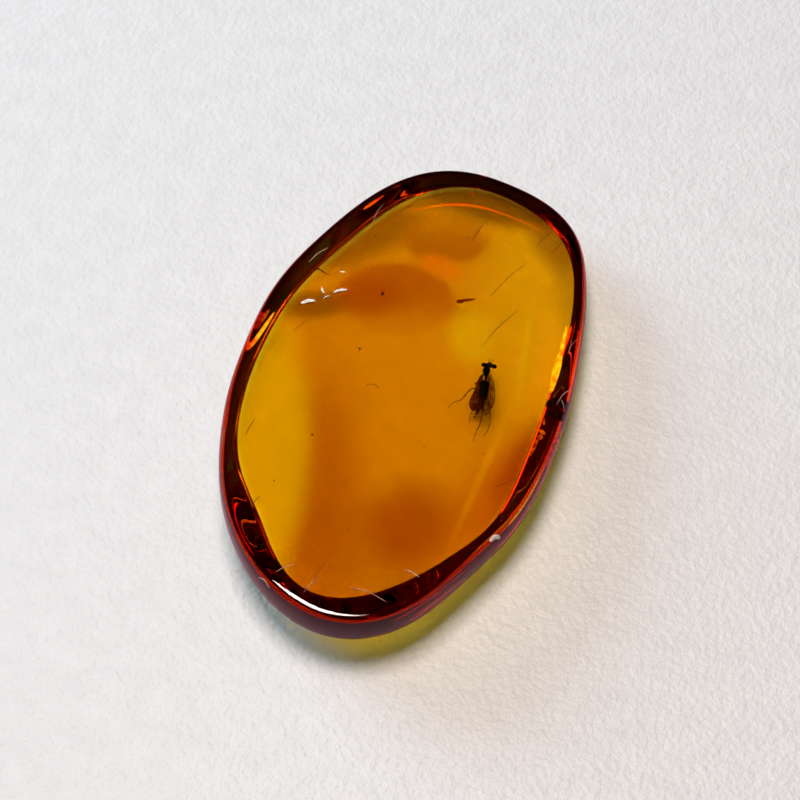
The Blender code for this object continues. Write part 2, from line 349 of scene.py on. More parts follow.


# Runs of resin of unlike clearness, and painted shade at the far end, seen from above: tint,
# centre and reach in millimetres, turn in degrees, softness, raggedness, fade and strength. Later ones lie
# over earlier ones.
RESIN_TINT = (0.89, 0.59, 1.0, 1.0)
RESIN_RUNS_AND_SHADE = (
    # the browner near end and the band beside the clear left flank
    ((0.66, 0.36), (0.0, -8.3), (4.3, 2.4), 14, 0.60, 0.4, 0.0, 0.75),
    ((0.55, 0.18), (-2.4, -4.9), (1.7, 5.0), 16, 0.70, 0.3, 0.0, 0.65),
    ((0.96, 1.00), (-5.3, -3.9), (2.0, 6.4), 15, 0.32, 0.3, 0.0, 0.95),
    # the clear yellow flank on the right, its fan towards the fly, and its brown outer edge
    ((0.95, 0.78), (4.3, 6.9), (2.5, 5.4), 6, 0.60, 0.3, 0.0, 0.90),
    ((1.00, 0.96), (2.0, 4.2), (1.0, 1.3), 20, 0.50, 0.5, 0.0, 0.85),
    ((0.50, 0.40), (6.0, 7.9), (0.9, 3.2), 14, 0.60, 0.4, 0.0, 0.70),
    # darker edges at the far end, painted shade where less light reaches the board, and brown edges on the
    # upper left
    ((0.24, 0.14), (0.6, 11.5), (4.0, 1.3), 0, 0.40, 0.3, 0.0, 0.90),
    ((0.30, 0.18), (4.3, 10.1), (1.8, 0.9), -50, 0.60, 0.3, 0.0, 0.80),
    ((0.30, 0.16), (-4.0, 8.0), (2.9, 1.2), 48, 0.50, 0.4, 0.0, 0.75),
    ((0.26, 0.13), (-5.2, 3.7), (1.5, 0.7), 24, 0.50, 0.4, 0.0, 0.80),
    # a darker run shaped like a half moon, another beyond it and the bright wedge between them
    ((0.60, 0.22), (-1.75, 5.1), (2.65, 1.85), 8, 0.14, 0.3, 0.7, 0.90),
    ((0.52, 0.14), (-2.9, 4.8), (1.5, 0.9), 20, 0.60, 0.3, 0.0, 0.75),
    ((0.55, 0.23), (-0.5, 8.8), (1.9, 1.35), 196, 0.20, 0.3, 0.6, 0.85),
    ((1.00, 0.43), (-0.3, 7.3), (1.0, 0.55), -10, 0.45, 0.2, 0.0, 0.90),
    # darker runs at the near end and along the right
    ((0.50, 0.14), (2.0, -5.7), (2.0, 1.9), 16, 0.60, 0.3, 0.0, 0.80),
    ((0.62, 0.16), (5.2, -3.5), (1.5, 2.8), -12, 0.70, 0.4, 0.0, 0.70),
    ((0.42, 0.07), (6.1, -1.3), (0.9, 2.6), -12, 0.60, 0.4, 0.0, 0.85),
    # two bright threads, one after the other, where the runs on the right meet
    ((1.00, 0.98), (4.5, 4.1), (0.16, 2.3), 7, 0.80, 0.2, 0.0, 0.75),
    ((1.00, 0.80), (4.3, -1.8), (0.16, 3.6), -6, 0.80, 0.2, 0.0, 0.60),
)


def amber_material():
    """Clear resin: plain transmission and absorption, with its cloudier runs and some painted shade tinted
    at the base, and painted shade in the flank's dark skin.
    """
    material, shader = new_material("clear_amber")
    tree = material.node_tree
    cloud = resin_cloud_group()
    colour = RESIN_TINT
    for tint, centre, reach, turn, softness, raggedness, fade, strength in RESIN_RUNS_AND_SHADE:
        run = add_node(tree, "ShaderNodeGroup", node_tree=cloud)
        values = {
            "Colour": colour,
            "Cloud Colour": (*tint, 1.0, 1.0),
            "Centre": (centre[0] * MM, centre[1] * MM, 0),
            "Reach": (reach[0] * MM, reach[1] * MM, MM),
            "Turn": (0, 0, math.radians(turn)),
            "Softness": softness,
            "Raggedness": raggedness,
            "Fade": fade,
            "Strength": strength,
        }
        set_inputs(tree, run, values)
        colour = run.outputs["Colour"]
    place = add_node(tree, "ShaderNodeTexCoord").outputs["Object"]
    height = add_node(tree, "ShaderNodeSeparateXYZ", {0: place}).outputs["Z"]
    at_base = add_node(
        tree,
        "ShaderNodeMapRange",
        {"Value": height, "From Min": 0.1 * MM, "From Max": 0.5 * MM, "To Min": 1.0, "To Max": 0.0},
    )
    white = (1, 1, 1, 1)
    tinted = add_node(
        tree, "ShaderNodeMix", {"Factor": at_base.outputs[0], 6: white, 7: colour}, data_type="RGBA"
    )
    # The flank's dark skin is painted shade: it fully darkens what the camera sees through the rim, but
    # only a small share of it colours light that has scattered off the board.
    skin = add_node(tree, "ShaderNodeAttribute", attribute_name="skin").outputs["Fac"]
    scattered = add_node(tree, "ShaderNodeLightPath").outputs["Diffuse Depth"]
    direct = add_node(
        tree, "ShaderNodeMapRange", {"Value": scattered, "To Min": 1.0, "To Max": LIT_SHADE_SKIN_SHARE}
    )
    shade_skin_share = add_node(tree, "ShaderNodeMath", {0: skin, 1: direct.outputs[0]}, operation="MULTIPLY")
    colour = tinted.outputs[2]
    for shade_skin_colour, first, full in ((THIN_SHADE_SKIN, 0.0, 0.5), (THICK_SHADE_SKIN, 0.5, 1.0)):
        depth = add_node(
            tree,
            "ShaderNodeMapRange",
            {"Value": shade_skin_share.outputs[0], "From Min": first, "From Max": full},
        )
        shade_skinned = add_node(
            tree, "ShaderNodeMix", {"Factor": depth.outputs[0], 6: colour, 7: shade_skin_colour}, data_type="RGBA"
        )
        colour = shade_skinned.outputs[2]
    tree.links.new(colour, shader.inputs["Base Color"])
    shader.inputs["Metallic"].default_value = 0.0
    shader.inputs["Roughness"].default_value = 0.0
    shader.inputs["IOR"].default_value = AMBER_INDEX
    shader.inputs["Transmission Weight"].default_value = 1.0
    strongest = max(ABSORBED_PER_MM)
    kept = [1 - share / strongest for share in ABSORBED_PER_MM]
    resin = add_node(
        tree, "ShaderNodeVolumeAbsorption", {"Color": (*kept, 1), "Density": strongest / MM}
    )
    tree.links.new(resin.outputs[0], tree.nodes["Material Output"].inputs["Volume"])
    return material


amber = new_piece("amber", stone_bmesh())
smooth_piece(amber, STONE_SMOOTHING)
fit_to_box(amber, CAD_LOW, CAD_HIGH)
amber.data.materials.append(amber_material())
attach(amber, "root")
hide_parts("amber_lower", "amber_upper")


# ---- The fly's body -------------------------------------------------------------------------
# A small long-legged fly, trapped whole when the resin was soft. Its head has two wide eyes, a
# narrow waist parts the front of the chest from the humped back, and the tail is browner.

FLY_PLACE = Vector((3.29, 2.4, 1.7)) * MM
FLY_HEADING = math.radians(16)
BODY_LUMPS = (  # centre, half-sizes, lean to the right in degrees
    ((0.02, 0.02, 0.00), (0.24, 0.11, 0.16), -8),
    ((0.03, 0.10, -0.04), (0.09, 0.10, 0.10), -8),
    ((-0.10, -0.24, 0.00), (0.17, 0.23, 0.18), -5),
    ((-0.12, -0.40, 0.03), (0.13, 0.16, 0.15), -5),
    ((-0.13, -0.62, 0.00), (0.075, 0.26, 0.10), -4),
    ((-0.20, -0.98, 0.02), (0.24, 0.24, 0.26), -6),
    ((-0.24, -1.28, 0.03), (0.23, 0.38, 0.27), -8),
    ((-0.30, -1.62, 0.00), (0.17, 0.30, 0.21), -12),
    ((-0.38, -1.90, -0.02), (0.16, 0.20, 0.17), -20),
    ((-0.45, -2.08, -0.03), (0.13, 0.17, 0.14), -24),
    ((-0.51, -2.23, -0.04), (0.10, 0.14, 0.11), -26),
    ((-0.57, -2.37, -0.05), (0.065, 0.12, 0.07), -28),
    ((-0.66, -2.57, -0.06), (0.05, 0.06, 0.05), -30),
)
BODY_GRAIN = 0.018  # size of the fused body's faces
BODY_SMOOTHING = 3
BRISTLES = 70
BRISTLE_LENGTH = 0.11
BRISTLE_RADIUS = 0.006
BRISTLE_SEED = 7
IN_RESIN_GLOSS = 0.05  # chitin bends light much as resin does, so it hardly shines inside it


def place_fly_part(piece):
    """Takes a piece from the fly's own millimetres, head at the origin, to its place."""
    turn = Matrix.Rotation(FLY_HEADING, 4, "Z")
    piece.data.transform(Matrix.Translation(FLY_PLACE) @ turn @ Matrix.Scale(MM, 4))
    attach(piece, "root")
    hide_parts("fly")


def add_lump(bm, centre, reach, lean, detail=4):
    made = bmesh.ops.create_icosphere(bm, subdivisions=detail, radius=1.0)["verts"]
    bmesh.ops.scale(bm, verts=made, vec=reach)
    bmesh.ops.rotate(bm, verts=made, matrix=Matrix.Rotation(math.radians(lean), 3, "Z"))
    bmesh.ops.translate(bm, verts=made, vec=centre)
    return made


def add_bristle(bm, root, aim, length, radius):
    """A tapered hair that stands on a place and points along aim."""
    made = bmesh.ops.create_cone(
        bm, cap_ends=True, segments=4, radius1=radius, radius2=radius * 0.2, depth=length
    )["verts"]
    bmesh.ops.translate(bm, verts=made, vec=(0, 0, length / 2 - radius))
    bmesh.ops.rotate(bm, verts=made, matrix=aim.to_track_quat("Z", "Y").to_matrix())
    bmesh.ops.translate(bm, verts=made, vec=root)


def fused_body():
    """The lumps as one closed skin: remeshed, smoothed and with its bristles set in it."""
    bm = bmesh.new()
    for centre, reach, lean in BODY_LUMPS:
        add_lump(bm, centre, reach, lean)
    lumps = new_piece("fly_lumps", bm)
    remesh = lumps.modifiers.new("fuse", "REMESH")
    remesh.mode = "VOXEL"
    remesh.voxel_size = BODY_GRAIN
    settle = lumps.modifiers.new("settle", "SMOOTH")
    settle.iterations = BODY_SMOOTHING
    skin = evaluated_copy(lumps)
    bpy.data.objects.remove(lumps)
    bm = bmesh.new()
    bm.from_mesh(skin)
    bpy.data.meshes.remove(skin)
    bm.normal_update()
    chance = random.Random(BRISTLE_SEED)
    back = [vert for vert in bm.verts if vert.normal.z > -0.2 and vert.co.y < -0.1]
    roots = [(vert.co.copy(), vert.normal.copy()) for vert in chance.sample(back, BRISTLES)]
    for root, normal in roots:
        aim = (normal + Vector((0, -0.9, 0.1))).normalized()
        add_bristle(bm, root, aim, BRISTLE_LENGTH * chance.uniform(0.6, 1.2), BRISTLE_RADIUS)
    return bm


def chitin_material(name, front, rear, roughness):
    """Dark chitin, from the colour at the head to the colour at the tail, finely pitted."""
    material, shader = new_material(name)
    tree = material.node_tree
    place = add_node(tree, "ShaderNodeTexCoord").outputs["Object"]
    along = add_node(tree, "ShaderNodeSeparateXYZ", {0: place}).outputs["Y"]
    share = add_node(
        tree,
        "ShaderNodeMapRange",
        {"Value": along, "From Min": FLY_PLACE.y - 2.3 * MM, "From Max": FLY_PLACE.y - 1.5 * MM},
        interpolation_type="SMOOTHSTEP",
    )
    colour = add_node(
        tree, "ShaderNodeMix", {"Factor": share.outputs[0], 6: rear, 7: front}, data_type="RGBA"
    )
    pits = add_node(tree, "ShaderNodeTexNoise", {"Vector": place, "Scale": 22000.0, "Detail": 3.0})
    relief = add_node(
        tree,
        "ShaderNodeBump",
        {"Height": pits.outputs["Fac"], "Strength": 0.5, "Distance": 0.01 * MM},
    )
    tree.links.new(colour.outputs[2], shader.inputs["Base Color"])
    tree.links.new(relief.outputs[0], shader.inputs["Normal"])
    shader.inputs["Roughness"].default_value = roughness
    shader.inputs["Specular IOR Level"].default_value = IN_RESIN_GLOSS
    return material


fly_body = new_piece("fly_body", fused_body())
black, tail_brown = (0.004, 0.002, 0.002, 1), (0.075, 0.008, 0.004, 1)
fly_body.data.materials.append(chitin_material("body_chitin", black, tail_brown, 0.35))
place_fly_part(fly_body)


# ---- The fly's eyes -------------------------------------------------------------------------
# Two domes of many small lenses, each at an end of the wide head, a little redder than the head.

EYES = (
    ((-0.21, 0.045, 0.01), (0.125, 0.105, 0.15), -8),
    ((0.235, -0.035, 0.01), (0.125, 0.105, 0.15), -8),
)
LENS_SCALE = 30000.0


def eye_material():
    material, shader = new_material("eye_lenses")
    tree = material.node_tree
    place = add_node(tree, "ShaderNodeTexCoord").outputs["Object"]
    lens = add_node(tree, "ShaderNodeTexVoronoi", {"Vector": place, "Scale": LENS_SCALE})
    relief = add_node(
        tree,
        "ShaderNodeBump",
        {"Height": lens.outputs["Distance"], "Strength": 0.6, "Distance": 0.01 * MM},
        invert=True,
    )
    colour = add_node(
        tree,
        "ShaderNodeMix",
        {"Factor": lens.outputs["Distance"], 6: (0.012, 0.003, 0.002, 1), 7: (0.002, 0.001, 0.001, 1)},
        data_type="RGBA",
    )
    tree.links.new(colour.outputs[2], shader.inputs["Base Color"])
    tree.links.new(relief.outputs[0], shader.inputs["Normal"])
    shader.inputs["Roughness"].default_value = 0.25
    shader.inputs["Specular IOR Level"].default_value = IN_RESIN_GLOSS
    return material


bm = bmesh.new()
for centre, reach, lean in EYES:
    add_lump(bm, centre, reach, lean)
fly_eyes = new_piece("fly_eyes", bm)
fly_eyes.data.materials.append(eye_material())
place_fly_part(fly_eyes)


# ---- The fly's legs and feelers -------------------------------------------------------------
# Thin jointed tubes of brown chitin. Each stretch is fattest near its root and narrow at its
# joints, and the long hind legs trail behind the body as the resin drew them out.

LIMBS = (  # thickness at the root and at the tip, then the joints
    (0.040, 0.014, ((-0.30, -1.10, -0.10), (-0.57, -1.11, -0.18), (-0.78, -1.12, -0.12),
                    (-0.99, -1.34, -0.18), (-1.24, -1.66, -0.24), (-1.42, -1.73, -0.26),
                    (-1.58, -1.78, -0.28), (-1.74, -1.92, -0.29), (-1.84, -2.08, -0.30))),
    (0.040, 0.012, ((-0.24, -1.50, -0.12), (-0.31, -2.05, -0.24), (-0.34, -2.40, -0.28),
                    (-0.44, -2.86, -0.32), (-0.62, -3.26, -0.34), (-0.70, -3.52, -0.36),
                    (-0.76, -3.75, -0.38))),
    (0.042, 0.012, ((-0.12, -1.45, -0.12), (-0.04, -1.78, -0.18), (0.02, -2.19, -0.24),
                    (0.01, -2.77, -0.28), (-0.08, -3.10, -0.32), (-0.18, -3.28, -0.34),
                    (-0.30, -3.42, -0.36))),
    (0.026, 0.012, ((-0.62, -2.10, -0.06), (-0.78, -2.30, -0.14), (-0.87, -2.45, -0.18),
                    (-0.90, -2.80, -0.22))),
    (0.034, 0.016, ((-0.10, -1.00, -0.06), (0.04, -1.04, -0.12), (0.13, -1.10, -0.16),
                    (0.22, -1.22, -0.20))),
    (0.040, 0.016, ((-0.24, -0.78, -0.08), (-0.46, -0.86, -0.14), (-0.62, -0.80, -0.18),
                    (-0.58, -0.98, -0.22))),
    (0.022, 0.008, ((0.06, 0.10, 0.05), (0.03, 0.22, 0.07), (0.00, 0.30, 0.07),
                    (-0.02, 0.36, 0.06))),
    (0.022, 0.008, ((0.10, 0.08, 0.05), (0.14, 0.18, 0.07), (0.18, 0.24, 0.07),
                    (0.23, 0.29, 0.06))),
)
LIMB_SIDES = 8
STRETCH_SHAPE = ((0.12, 0.85), (0.4, 1.0), (0.75, 0.8), (1.0, 0.6))  # share along, share of thickness


def add_limb(bm, root_radius, tip_radius, joints):
    """A jointed tube: a ring set at the root and extruded from station to station."""
    joints = [Vector(joint) for joint in joints]
    stations = [(joints[0], root_radius * 0.8, joints[1] - joints[0])]
    count = len(joints) - 1
    for number, (start, end) in enumerate(zip(joints, joints[1:])):
        for share, swelling in STRETCH_SHAPE:
            done = (number + share) / count
            radius = (root_radius * (1 - done) + tip_radius * done) * swelling
            stations.append((start.lerp(end, share), radius, end - start))
    ring = bmesh.ops.create_circle(bm, radius=1.0, segments=LIMB_SIDES)["verts"]
    edges = list({edge for vert in ring for edge in vert.link_edges})
    loops = [edges]
    for number, (place, radius, aim) in enumerate(stations):
        if number:
            drawn = bmesh.ops.extrude_edge_only(bm, edges=edges)["geom"]
            ring = [part for part in drawn if isinstance(part, bmesh.types.BMVert)]
            drawn_edges = [part for part in drawn if isinstance(part, bmesh.types.BMEdge)]
            edges = [edge for edge in drawn_edges if all(vert in ring for vert in edge.verts)]
            loops.append(edges)
            bmesh.ops.transform(bm, verts=ring, matrix=last_pose.inverted())
        turn = aim.to_track_quat("Z", "Y").to_matrix().to_4x4()
        pose = Matrix.Translation(place) @ turn @ Matrix.Scale(radius, 4)
        bmesh.ops.transform(bm, verts=ring, matrix=pose)
        last_pose = pose
    for loop in (loops[0], loops[-1]):
        bmesh.ops.contextual_create(bm, geom=loop)


bm = bmesh.new()
for root_radius, tip_radius, joints in LIMBS:
    add_limb(bm, root_radius, tip_radius, joints)
bmesh.ops.recalc_face_normals(bm, faces=bm.faces)
fly_legs = new_piece("fly_legs", bm)
leg_brown, leg_dark = (0.10, 0.022, 0.006, 1), (0.020, 0.006, 0.003, 1)
fly_legs.data.materials.append(chitin_material("leg_chitin", leg_dark, leg_brown, 0.4))
place_fly_part(fly_legs)


# ---- The fly's wings ------------------------------------------------------------------------
# Clear skins on a net of stiffer veins, folded back along the body. The left one lies flat over
# the body's side and looks darker, and the right one stands more on edge.

WINGS = (  # name, height, tilt about its length in degrees, clearness, outline from the root, veins
    ("fly_wing_left", 0.12, -14, (0.16, 0.012, 0.004, 1), 0.70,
     ((-0.24, -0.46), (-0.36, -0.50), (-0.55, -0.86), (-0.62, -1.20), (-0.78, -1.48), (-0.91, -1.76),
      (-0.92, -2.00), (-0.85, -2.17), (-0.72, -2.28), (-0.58, -2.18), (-0.48, -1.70), (-0.34, -1.00)),
     (((-0.30, -0.50), (-0.52, -1.10), (-0.80, -1.70), (-0.86, -2.10)),
      ((-0.30, -0.60), (-0.46, -1.30), (-0.66, -1.90), (-0.72, -2.22)),
      ((-0.62, -1.20), (-0.56, -1.60), (-0.60, -2.12)),
      ((-0.74, -1.56), (-0.60, -1.66)))),
    ("fly_wing_right", 0.10, 14, (0.24, 0.035, 0.008, 1), 0.32,
     ((-0.04, -0.50), (0.08, -0.44), (0.19, -0.70), (0.25, -1.10), (0.26, -1.50), (0.22, -1.85),
      (0.13, -2.08), (0.02, -2.22), (-0.06, -1.95), (-0.08, -1.60), (-0.04, -1.00)),
     (((0.02, -0.50), (0.14, -1.00), (0.16, -1.60), (0.06, -2.14)),
      ((0.00, -0.60), (0.05, -1.20), (0.04, -1.80), (0.00, -2.15)),
      ((0.14, -1.10), (0.05, -1.20)),
      ((0.16, -1.60), (0.04, -1.70)))),
    ("fly_wing_under", 0.04, 4, (0.20, 0.045, 0.010, 1), 0.30,
     ((-0.16, -1.60), (-0.04, -1.74), (0.01, -2.00), (0.00, -2.25), (-0.07, -2.44), (-0.18, -2.47),
      (-0.26, -2.34), (-0.27, -2.10), (-0.22, -1.85)),
     (((-0.14, -1.70), (-0.12, -2.10), (-0.16, -2.42)),)),
)
WING_THICKNESS = 0.012
VEIN_RADIUS = 0.013
RIM_RADIUS = 0.017
WING_SMOOTHING = 3


def wing_place(point, height):
    """A wing's points lie on a skin that is arched a little across and droops to its tip."""
    x, y = point
    return Vector((x, y, height - 0.03 * (y + 0.5) ** 2 * 0.5 + 0.02 * math.sin(9 * x + 4 * y)))


def wing_skin(outline_points, height):
    """A skin on a closed outline: one face, inset and poked. It is smoothed and thickened after."""
    bm = bmesh.new()
    corners = [bm.verts.new(wing_place(point, height)) for point in outline_points]
    skin = bmesh.ops.contextual_create(bm, geom=corners)["faces"]
    bmesh.ops.inset_region(bm, faces=skin, thickness=0.05, use_even_offset=False)
    bmesh.ops.poke(bm, faces=skin)
    return bm


def tilt_piece(piece, root, height, tilt):
    pivot = Matrix.Translation(wing_place(root, height))
    turn = Matrix.Rotation(math.radians(tilt), 4, "Y")
    piece.data.transform(pivot @ turn @ pivot.inverted())


def add_round_loop(bm, points, radius):
    """A thin closed rim along a loop of points."""
    closed = [*points, points[0]]
    add_limb(bm, radius, radius, closed)


def wing_material(name, colour, clearness):
    """A stained clear skin whose opacity varies in soft patches."""
    material, shader = new_material(name)
    tree = material.node_tree
    place = add_node(tree, "ShaderNodeTexCoord").outputs["Object"]
    stain = add_node(tree, "ShaderNodeTexNoise", {"Vector": place, "Scale": 3500.0, "Detail": 3.0})
    alpha = add_node(
        tree,
        "ShaderNodeMapRange",
        {
            "Value": stain.outputs["Fac"],
            "From Min": 0.35,
            "From Max": 0.65,
            "To Min": clearness * 0.6,
            "To Max": min(1.0, clearness * 1.4),
        },
    )
    tree.links.new(alpha.outputs[0], shader.inputs["Alpha"])
    shader.inputs["Base Color"].default_value = colour
    shader.inputs["Roughness"].default_value = 0.3
    shader.inputs["Specular IOR Level"].default_value = IN_RESIN_GLOSS
    return material


vein_material = chitin_material("wing_veins", leg_dark, (0.06, 0.010, 0.004, 1), 0.4)
for name, height, tilt, colour, clearness, edge_points, veins in WINGS:
    skin = new_piece(f"{name}_skin", wing_skin(edge_points, height))
    smooth_piece(skin, WING_SMOOTHING)
    thicken = skin.modifiers.new("thickness", "SOLIDIFY")
    thicken.thickness = WING_THICKNESS
    thicken.offset = 0.0
    skin_mesh = evaluated_copy(skin)
    bpy.data.objects.remove(skin)
    wing = bpy.data.objects.new(name, skin_mesh)
    bpy.context.scene.collection.objects.link(wing)
    skin_mesh.materials.append(wing_material(f"{name}_skin", colour, clearness))
    tilt_piece(wing, edge_points[0], height, tilt)
    place_fly_part(wing)
    bm = bmesh.new()
    add_round_loop(bm, [wing_place(point, height) for point in edge_points], RIM_RADIUS)
    for vein in veins:
        add_limb(bm, VEIN_RADIUS * 1.3, VEIN_RADIUS * 0.7, [wing_place(point, height) for point in vein])
    bmesh.ops.recalc_face_normals(bm, faces=bm.faces)
    wing_veins = new_piece(f"{name}_veins", bm)
    wing_veins.data.materials.append(vein_material)
    tilt_piece(wing_veins, edge_points[0], height, tilt)
    place_fly_part(wing_veins)


# ---- Specks of dust and a splinter of bark --------------------------------------------------
# Grains of soil and rotted wood that stuck to the resin before the next run covered them.

SPECKS = (  # place, half-size
    ((-2.27, 4.65, 1.6), 0.085),
    ((-2.45, 1.61, 1.6), 0.060),
    ((-3.22, -3.13, 1.6), 0.045),
    ((1.60, -2.23, 1.2), 0.030),
    ((-4.10, -5.83, 1.9), 0.035),
    ((0.60, 8.76, 1.3), 0.032),
    ((-0.40, -7.04, 1.4), 0.030),
    ((4.20, -1.94, 1.8), 0.028),
    ((-3.40, 7.46, 1.7), 0.034),
)
SPLINTER = ((-5.40, 4.76, 2.75), (-5.12, 4.68, 2.74), (-4.86, 4.58, 2.74), (-4.66, 4.54, 2.73))
SPLINTER_RADIUS = 0.045
SHRED = ((-1.65, -0.10, 1.6), (-1.47, 0.05, 1.6), (-1.19, 0.03, 1.6), (-1.06, -0.09, 1.6))
SHRED_RADIUS = 0.016
WHISKERS = 5
WHISKER_LENGTH = 0.22
WHISKER_RADIUS = 0.009
DUST_SEED = 3


def dust_bmesh():
    bm = bmesh.new()
    chance = random.Random(DUST_SEED)
    for place, reach in SPECKS:
        made = bmesh.ops.create_icosphere(bm, subdivisions=3, radius=reach)["verts"]
        for vert in made:
            vert.co *= chance.uniform(0.75, 1.2)
        bmesh.ops.smooth_vert(bm, verts=made, factor=0.5, use_axis_x=True, use_axis_y=True, use_axis_z=True)
        bmesh.ops.scale(bm, verts=made, vec=(chance.uniform(0.8, 1.3), 1.0, 0.7))
        bmesh.ops.translate(bm, verts=made, vec=place)
        for _ in range(WHISKERS if reach > 0.05 else 0):
            turn = chance.uniform(0, 2 * math.pi)
            aim = Vector((math.cos(turn), math.sin(turn), chance.uniform(-0.3, 0.3)))
            add_bristle(bm, Vector(place), aim, WHISKER_LENGTH * chance.uniform(0.6, 1.3), WHISKER_RADIUS)
    add_limb(bm, SPLINTER_RADIUS, SPLINTER_RADIUS * 0.3, SPLINTER)
    add_limb(bm, SHRED_RADIUS, SHRED_RADIUS, SHRED)
    bmesh.ops.scale(bm, verts=bm.verts, vec=(MM, MM, MM))
    bmesh.ops.recalc_face_normals(bm, faces=bm.faces)
    return bm


def earth_material():
    material, shader = new_material("rotted_wood")
    tree = material.node_tree
    place = add_node(tree, "ShaderNodeTexCoord").outputs["Object"]
    grain = add_node(tree, "ShaderNodeTexNoise", {"Vector": place, "Scale": 9000.0, "Detail": 4.0})
    colour = add_node(
        tree,
        "ShaderNodeMix",
        {"Factor": grain.outputs["Fac"], 6: (0.030, 0.004, 0.002, 1), 7: (0.12, 0.025, 0.008, 1)},
        data_type="RGBA",
    )
    relief = add_node(
        tree, "ShaderNodeBump", {"Height": grain.outputs["Fac"], "Distance": 0.02 * MM, "Strength": 0.8}
    )
    tree.links.new(colour.outputs[2], shader.inputs["Base Color"])
    tree.links.new(relief.outputs[0], shader.inputs["Normal"])
    shader.inputs["Roughness"].default_value = 0.8
    shader.inputs["Specular IOR Level"].default_value = IN_RESIN_GLOSS
    return material


dust = new_piece("dust_specks", dust_bmesh())
dust.data.materials.append(earth_material())
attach(dust, "root")


# ---- White clefts under the polish ----------------------------------------------------------
# Short splits that opened where the wheel caught the resin. Their rough walls hold air, so they
# look white. The dark line beside each is a painted shadow.

VIEW_AZIMUTH = 16
VIEW_ELEVATION = 62
VIEW_DISTANCE = 120 * MM
VIEW_FRAME = 36 * MM  # width of the picture at the stone
PICTURE_WIDTH = 800
AIM = Vector((-0.325, 0.858, 0.0)) * MM
CLEFTS = (  # middle, half-length, half-width, bearing in degrees
    ((-5.12, 2.75), 0.34, 0.085, 30),
    ((-3.92, 3.73), 0.33, 0.065, 31),
    ((-4.66, 3.50), 0.17, 0.045, 128),
    ((-4.40, 3.23), 0.16, 0.030, 40),
    ((-4.10, 4.71), 0.11, 0.045, 10),
)
# A painted reflection: a white glint on the rim's lower right shoulder, drawn as one more pale blade.
RIM_GLINT = ((489.3, 540.4), (499.7, 535.6), 0.075)  # both ends in the picture's pixels, half-width
CLEFT_THICKNESS = 0.02
# Painted shadows: dark lines beside the clefts, given as rows like those of CLEFTS.
CLEFT_SHADOW_ROWS = (  # rows like those of CLEFTS, for the dark lines
    ((-3.93, 3.64), 0.30, 0.028, 30),
    ((-4.52, 3.15), 0.24, 0.018, 34),
    ((-5.02, 2.67), 0.24, 0.018, 22),
)
polished_top = BVHTree.FromObject(amber, bpy.context.evaluated_depsgraph_get())


def surface_height(x, y):
    """The height of the stone's polished top at a place, all in millimetres."""
    hit = polished_top.ray_cast(Vector((x, y, 2 * STONE_HEIGHT)) * MM, Vector((0, 0, -1)))[0]
    return hit.z / MM


def direction(bearing, elevation):
    """A unit vector: bearing from the right of the picture, then elevation, both in degrees."""
    turn, rise = math.radians(bearing + VIEW_AZIMUTH), math.radians(elevation)
    return Vector((math.cos(turn) * math.cos(rise), math.sin(turn) * math.cos(rise), math.sin(rise)))


towards_camera = direction(-90, VIEW_ELEVATION)
camera_turn = (-towards_camera).to_track_quat("-Z", "Y")
camera_place = AIM + towards_camera * VIEW_DISTANCE


def on_stone(pixel):
    """The place on the stone's polish, in millimetres, that is seen at a pixel of the picture."""
    middle, pixel_size = PICTURE_WIDTH / 2, VIEW_FRAME / PICTURE_WIDTH
    across, down = (pixel[0] - middle) * pixel_size, (pixel[1] - middle) * pixel_size
    aim = camera_turn @ Vector((across, -down, -VIEW_DISTANCE))
    return polished_top.ray_cast(camera_place, aim.normalized())[0] / MM


def blade_row(start, end, width):
    """A blade's row, between the places that are seen at two pixels."""
    start, end = on_stone(start), on_stone(end)
    middle, run = (start + end) / 2, end - start
    bearing = math.degrees(math.atan2(run.y, run.x))
    return ((middle.x, middle.y), run.length / 2, width, bearing)


def blade_bmesh(rows, bow):
    """Thin bowed blades that lie in the top of the stone."""
    bm = bmesh.new()
    for (x, y), length, width, bearing in rows:
        blade = add_lump(bm, (0, 0, 0), (length, width, CLEFT_THICKNESS), 0, detail=3)
        for vert in blade:
            vert.co.y += bow * length * math.cos(vert.co.x / length * math.pi)
        bmesh.ops.rotate(bm, verts=blade, matrix=Matrix.Rotation(math.radians(bearing), 3, "Z"))
        bmesh.ops.translate(bm, verts=blade, vec=(x, y, 0))
        for vert in blade:
            vert.co.z += surface_height(vert.co.x, vert.co.y)
    bmesh.ops.scale(bm, verts=bm.verts, vec=(MM, MM, MM))
    return bm


def pale_material(name, colour, clearness):
    material, shader = new_material(name)
    tree = material.node_tree
    place = add_node(tree, "ShaderNodeTexCoord").outputs["Object"]
    ragged = add_node(tree, "ShaderNodeTexNoise", {"Vector": place, "Scale": 9000.0, "Detail": 3.0})
    steps = {"From Min": 0.3, "From Max": 0.6, "To Min": clearness * 0.5, "To Max": clearness}
    alpha = add_node(tree, "ShaderNodeMapRange", {"Value": ragged.outputs["Fac"], **steps})
    tree.links.new(alpha.outputs[0], shader.inputs["Alpha"])
    shader.inputs["Base Color"].default_value = colour
    shader.inputs["Roughness"].default_value = 0.45
    return material


def add_marks(name, rows, bow, colour, clearness):
    marks = new_piece(name, blade_bmesh(rows, bow))
    marks.data.materials.append(pale_material(name, colour, clearness))
    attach(marks, "root")


# The white clefts piece also holds the rim's painted glint, and the cleft shadows are painted shadows.
add_marks("white_clefts", [*CLEFTS, blade_row(*RIM_GLINT)], 0.08, (0.92, 0.80, 0.68, 1), 1.0)
add_marks("cleft_shadows", CLEFT_SHADOW_ROWS, 0.05, (0.10, 0.012, 0.004, 1), 0.8)


# ---- Scratches in the polish ----------------------------------------------------------------
# Hair-fine cuts that handling left in the top and along its edge. Shallow ones look darker than
# the resin under them, and those on the dark edge have broken open and look pale.

